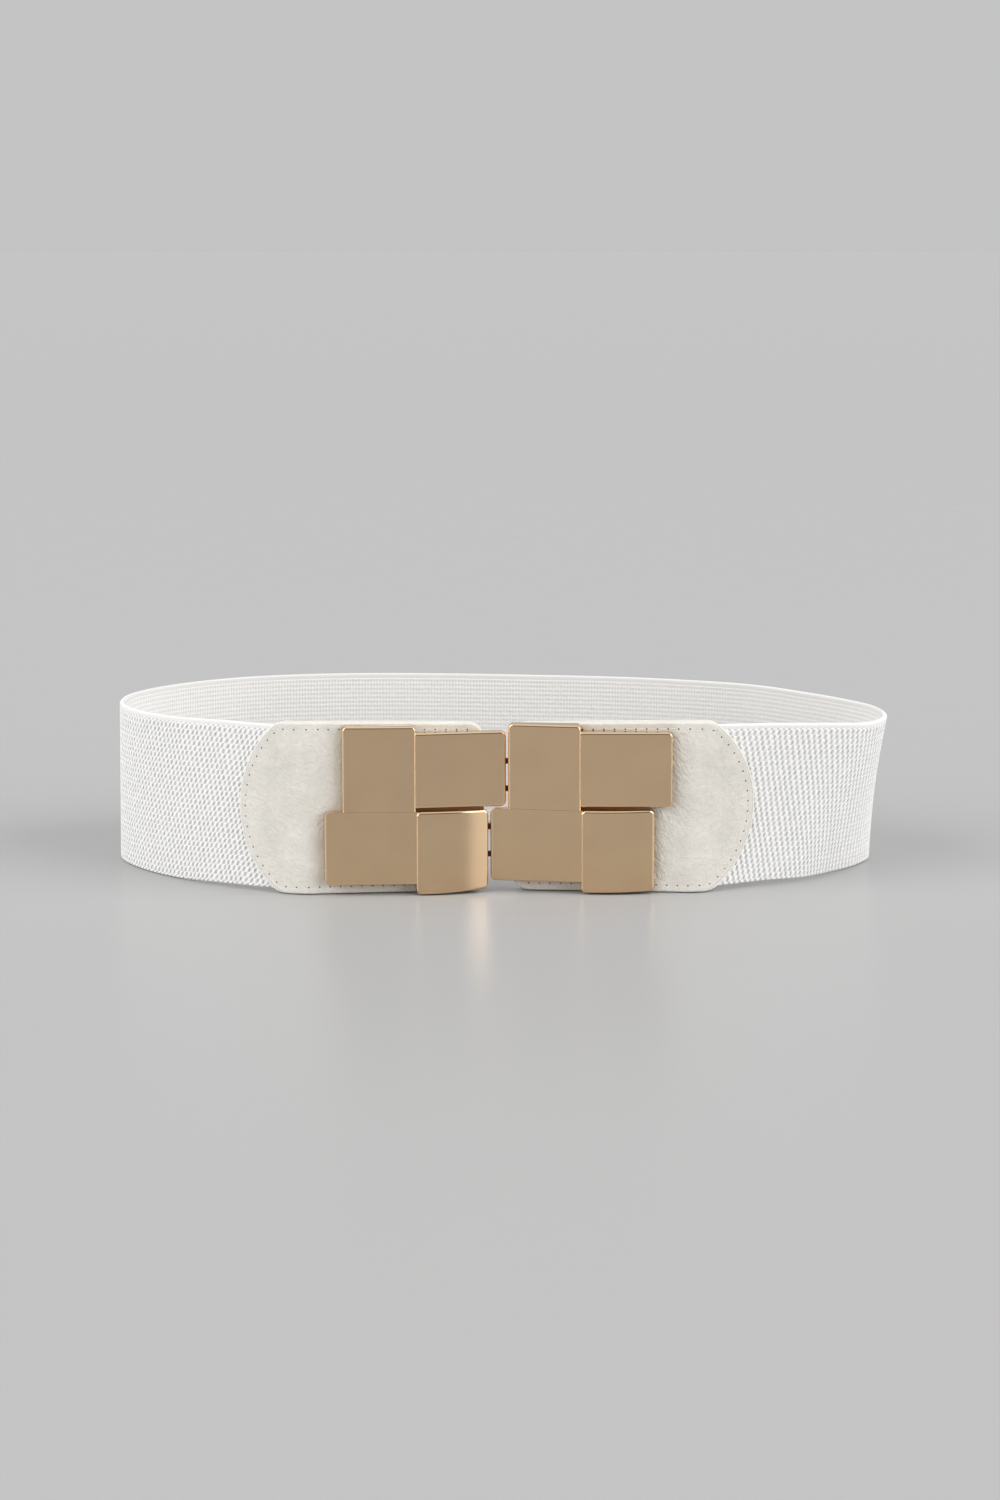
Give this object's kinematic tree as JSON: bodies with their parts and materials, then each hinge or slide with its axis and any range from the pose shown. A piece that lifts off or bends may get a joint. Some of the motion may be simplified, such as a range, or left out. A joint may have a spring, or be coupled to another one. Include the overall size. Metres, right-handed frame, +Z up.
{
  "type": "elastic stretch belt",
  "caption": "Wide white stretch belt, fastened in a loop, with cream leather end tabs and a gold cast clasp of woven-look tiles.",
  "frame": {"origin": "centre of the belt's bounding box in plan, on the surface it stands on", "axes": "+X along the belt's length, to the right of a viewer who faces the clasp; +Y from the clasp to the back; +Z up, across the belt's width"},
  "size_m": [0.2872, 0.1486, 0.0631],
  "materials": {
    "webbing": "matte ribbed knit",
    "leather": "satin fine grain",
    "gold": "polished plating"
  },
  "bodies": {
    "root": {"elastic_band": "webbing", "leather_tab_left": "leather", "leather_tab_right": "leather", "clasp_half_left": "gold", "clasp_half_right": "gold", "clasp_link_upper": "gold", "clasp_link_lower": "gold"}
  },
  "joints": []
}
